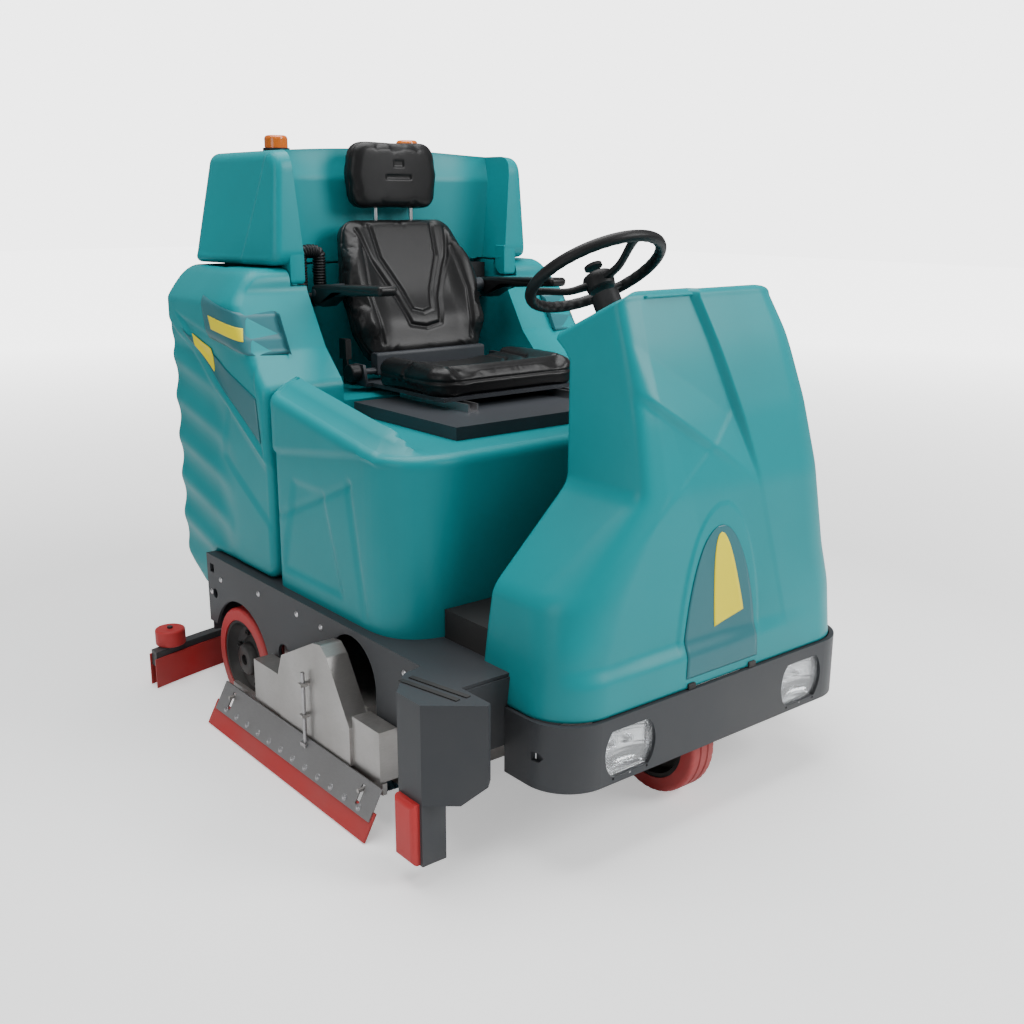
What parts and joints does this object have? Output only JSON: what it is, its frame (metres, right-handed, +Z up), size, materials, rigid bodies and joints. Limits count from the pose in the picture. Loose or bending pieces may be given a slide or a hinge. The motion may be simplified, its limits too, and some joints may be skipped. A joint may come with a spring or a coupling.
{
  "type": "ride-on floor scrubber",
  "caption": "Ride-on floor scrubber with driver seat, steered front wheel, cylindrical scrub head, side skirts, rear squeegee and lidded recovery tank.",
  "frame": {"origin": "on the floor under the middle of the machine's bounding box", "axes": "+Z up, -Y is the driving direction, +X is the driver's left"},
  "size_m": [1.45, 1.64, 1.547],
  "materials": {
    "frame_steel": "fine textured powder coat, anthracite",
    "lamp_reflector": "bright reflector",
    "lamp_lens": "clear moulded lens",
    "black_rubber": "ribbed black rubber",
    "red_rubber": "red polyurethane",
    "bright_steel": "zinc plated",
    "motor_black": "black paint",
    "red_tyre": "red polyurethane tread",
    "hub_black": "black paint",
    "black_plastic": "fine grained moulding",
    "teal_plastic": "rotomoulded polyethylene, satin",
    "seat_vinyl": "grained black vinyl",
    "amber_lens": "ribbed amber lens",
    "satin_aluminium": "satin cast and sheet aluminium",
    "bristle": "dense nylon bristle",
    "stainless": "brushed stainless sheet"
  },
  "bodies": {
    "chassis": {"chassis_frame": "frame_steel", "bumper": "frame_steel", "headlight_housings": "lamp_reflector", "headlight_lenses": "lamp_lens", "step_column": "frame_steel", "step_treads": "black_rubber", "corner_buffer": "red_rubber", "bolts_and_pins": "bright_steel", "steering_column": "black_plastic", "instrument_panel": "black_plastic", "floor_mat": "black_rubber", "front_cowl": "teal_plastic", "solution_tank": "teal_plastic", "filler_cap": "black_plastic", "battery_pack": "motor_black", "seat_plate": "frame_steel", "seat_rails": "bright_steel", "recovery_tank": "teal_plastic", "fuse_box": "black_plastic", "seat_hose": "black_rubber"},
    "drive_fork": {"steering_fork": "frame_steel", "drive_motor": "motor_black"},
    "front_wheel": {"front_tyre": "red_tyre", "front_rim": "hub_black"},
    "rear_wheel_right": {"rear_tyre_right": "red_tyre", "rear_rim_right": "hub_black"},
    "rear_wheel_left": {"rear_tyre_left": "red_tyre", "rear_rim_left": "hub_black"},
    "steering": {"steering_wheel": "black_plastic"},
    "horn": {"horn_button": "black_plastic"},
    "stop_button": {"emergency_stop": "red_rubber"},
    "key": {"ignition_key": "bright_steel"},
    "lever": {"direction_lever": "black_plastic"},
    "accelerator": {"accelerator_pedal": "black_rubber"},
    "brake": {"brake_pedal": "black_rubber"},
    "seat": {"seat_frame": "frame_steel", "seat_cushion": "seat_vinyl", "seatbelt_buckle": "black_plastic"},
    "knob": {"recline_knob": "black_plastic"},
    "back": {"seat_backrest": "seat_vinyl"},
    "head": {"headrest": "seat_vinyl"},
    "arm_left": {"armrest_left": "seat_vinyl"},
    "arm_right": {"armrest_right": "seat_vinyl"},
    "lid": {"tank_lid": "teal_plastic", "vacuum_motors": "motor_black", "beacon_bases": "black_plastic", "beacon_lenses": "amber_lens"},
    "scrub_head": {"scrub_deck": "satin_aluminium", "belt_covers": "satin_aluminium"},
    "brush_a": {"brush_front": "bristle"},
    "brush_b": {"brush_rear": "bristle"},
    "skirt_left": {"side_skirt_left": "stainless", "skirt_blade_left": "red_rubber"},
    "skirt_right": {"side_skirt_right": "stainless", "skirt_blade_right": "red_rubber"},
    "squeegee_lifter": {"squeegee_arm": "bright_steel"},
    "squeegee": {"squeegee_holder": "frame_steel", "squeegee_blades": "red_rubber"},
    "roller_left": {"squeegee_roller_left": "red_rubber"},
    "roller_right": {"squeegee_roller_right": "red_rubber"}
  },
  "joints": [
    {"name": "fork_yaw", "type": "hinge", "parent": "chassis", "child": "drive_fork", "pos_m": [0, -0.635, 0.35], "axis": [0, 0, 1], "range_deg": [-50, 50]},
    {"name": "front_wheel_spin", "type": "hinge", "parent": "drive_fork", "child": "front_wheel", "pos_m": [0, -0.635, 0.14], "axis": [1, 0, 0], "continuous": true},
    {"name": "rear_wheel_right_spin", "type": "hinge", "parent": "chassis", "child": "rear_wheel_right", "pos_m": [-0.5525, 0.378, 0.147], "axis": [1, 0, 0], "continuous": true},
    {"name": "rear_wheel_left_spin", "type": "hinge", "parent": "chassis", "child": "rear_wheel_left", "pos_m": [0.5525, 0.378, 0.147], "axis": [1, 0, 0], "continuous": true},
    {"name": "steering_turn", "type": "hinge", "parent": "chassis", "child": "steering", "pos_m": [0, -0.372, 1.208], "axis": [0, 0.5446, 0.8387], "range_deg": [-270, 270]},
    {"name": "horn_press", "type": "slide", "parent": "steering", "child": "horn", "axis": [0, -0.5446, -0.8387], "range_m": [0, 0.003], "stiffness_N_per_m": 800, "springref_m": -0.002},
    {"name": "stop_press", "type": "slide", "parent": "chassis", "child": "stop_button", "axis": [0, -1, 0], "range_m": [0, 0.005], "stiffness_N_per_m": 1500},
    {"name": "key_turn", "type": "hinge", "parent": "chassis", "child": "key", "pos_m": [-0.12, -0.537, 1.01], "axis": [0, 1, 0], "range_deg": [0, 60]},
    {"name": "lever_shift", "type": "hinge", "parent": "chassis", "child": "lever", "pos_m": [0, -0.44825, 1.09059], "axis": [0, 0.5446, 0.8387], "range_deg": [-10, 10]},
    {"name": "accelerator_press", "type": "hinge", "parent": "chassis", "child": "accelerator", "pos_m": [-0.13, -0.558, 0.505], "axis": [1, 0, 0], "range_deg": [0, 15], "stiffness_Nm_per_rad": 6, "springref_deg": -17.19},
    {"name": "brake_press", "type": "hinge", "parent": "chassis", "child": "brake", "pos_m": [0.12, -0.558, 0.505], "axis": [1, 0, 0], "range_deg": [0, 15], "stiffness_Nm_per_rad": 8, "springref_deg": -17.19},
    {"name": "seat_slide", "type": "slide", "parent": "chassis", "child": "seat", "axis": [0, -1, 0], "range_m": [-0.015, 0.09]},
    {"name": "knob_turn", "type": "hinge", "parent": "seat", "child": "knob", "pos_m": [-0.25, 0.306, 0.918], "axis": [1, 0, 0], "range_deg": [-20, 20]},
    {"name": "backrest_recline", "type": "hinge", "parent": "seat", "child": "back", "pos_m": [0, 0.306, 0.918], "axis": [1, 0, 0], "range_deg": [0, 45]},
    {"name": "headrest_lift", "type": "slide", "parent": "back", "child": "head", "axis": [0, 0, 1], "range_m": [0, 0.05]},
    {"name": "armrest_left_flip", "type": "hinge", "parent": "back", "child": "arm_left", "pos_m": [0.282, 0.402, 1.128], "axis": [-1, 0, 0], "range_deg": [0, 75]},
    {"name": "armrest_right_flip", "type": "hinge", "parent": "back", "child": "arm_right", "pos_m": [-0.282, 0.402, 1.128], "axis": [-1, 0, 0], "range_deg": [0, 75]},
    {"name": "lid_open", "type": "hinge", "parent": "chassis", "child": "lid", "pos_m": [0, 0.802, 1.196], "axis": [-1, 0, 0], "range_deg": [0, 70]},
    {"name": "scrub_head_lift", "type": "slide", "parent": "chassis", "child": "scrub_head", "axis": [0, 0, 1], "range_m": [0, 0.055]},
    {"name": "brush_front_spin", "type": "hinge", "parent": "scrub_head", "child": "brush_a", "pos_m": [0, -0.235, 0.094], "axis": [1, 0, 0], "continuous": true},
    {"name": "brush_rear_spin", "type": "hinge", "parent": "scrub_head", "child": "brush_b", "pos_m": [0, 0.035, 0.094], "axis": [1, 0, 0], "continuous": true},
    {"name": "skirt_left_float", "type": "slide", "parent": "scrub_head", "child": "skirt_left", "axis": [0, 0, 1], "range_m": [0, 0.02]},
    {"name": "skirt_right_float", "type": "slide", "parent": "scrub_head", "child": "skirt_right", "axis": [0, 0, 1], "range_m": [0, 0.02]},
    {"name": "squeegee_lift", "type": "hinge", "parent": "chassis", "child": "squeegee_lifter", "pos_m": [0, 0.61, 0.215], "axis": [1, 0, 0], "range_deg": [0, 12]},
    {"name": "squeegee_swing", "type": "hinge", "parent": "squeegee_lifter", "child": "squeegee", "pos_m": [0, 0.725, 0.13], "axis": [0, 0, 1], "range_deg": [-8, 8]},
    {"name": "roller_left_spin", "type": "hinge", "parent": "squeegee", "child": "roller_left", "pos_m": [0.655, 0.71724, 0.13], "axis": [0, 0, 1], "continuous": true},
    {"name": "roller_right_spin", "type": "hinge", "parent": "squeegee", "child": "roller_right", "pos_m": [-0.655, 0.71724, 0.13], "axis": [0, 0, 1], "continuous": true}
  ],
  "couplings": [
    {"joint": "steering_turn", "follows": "fork_yaw", "ratio": 5.4},
    {"joint": "brush_rear_spin", "follows": "brush_front_spin", "ratio": -1}
  ]
}
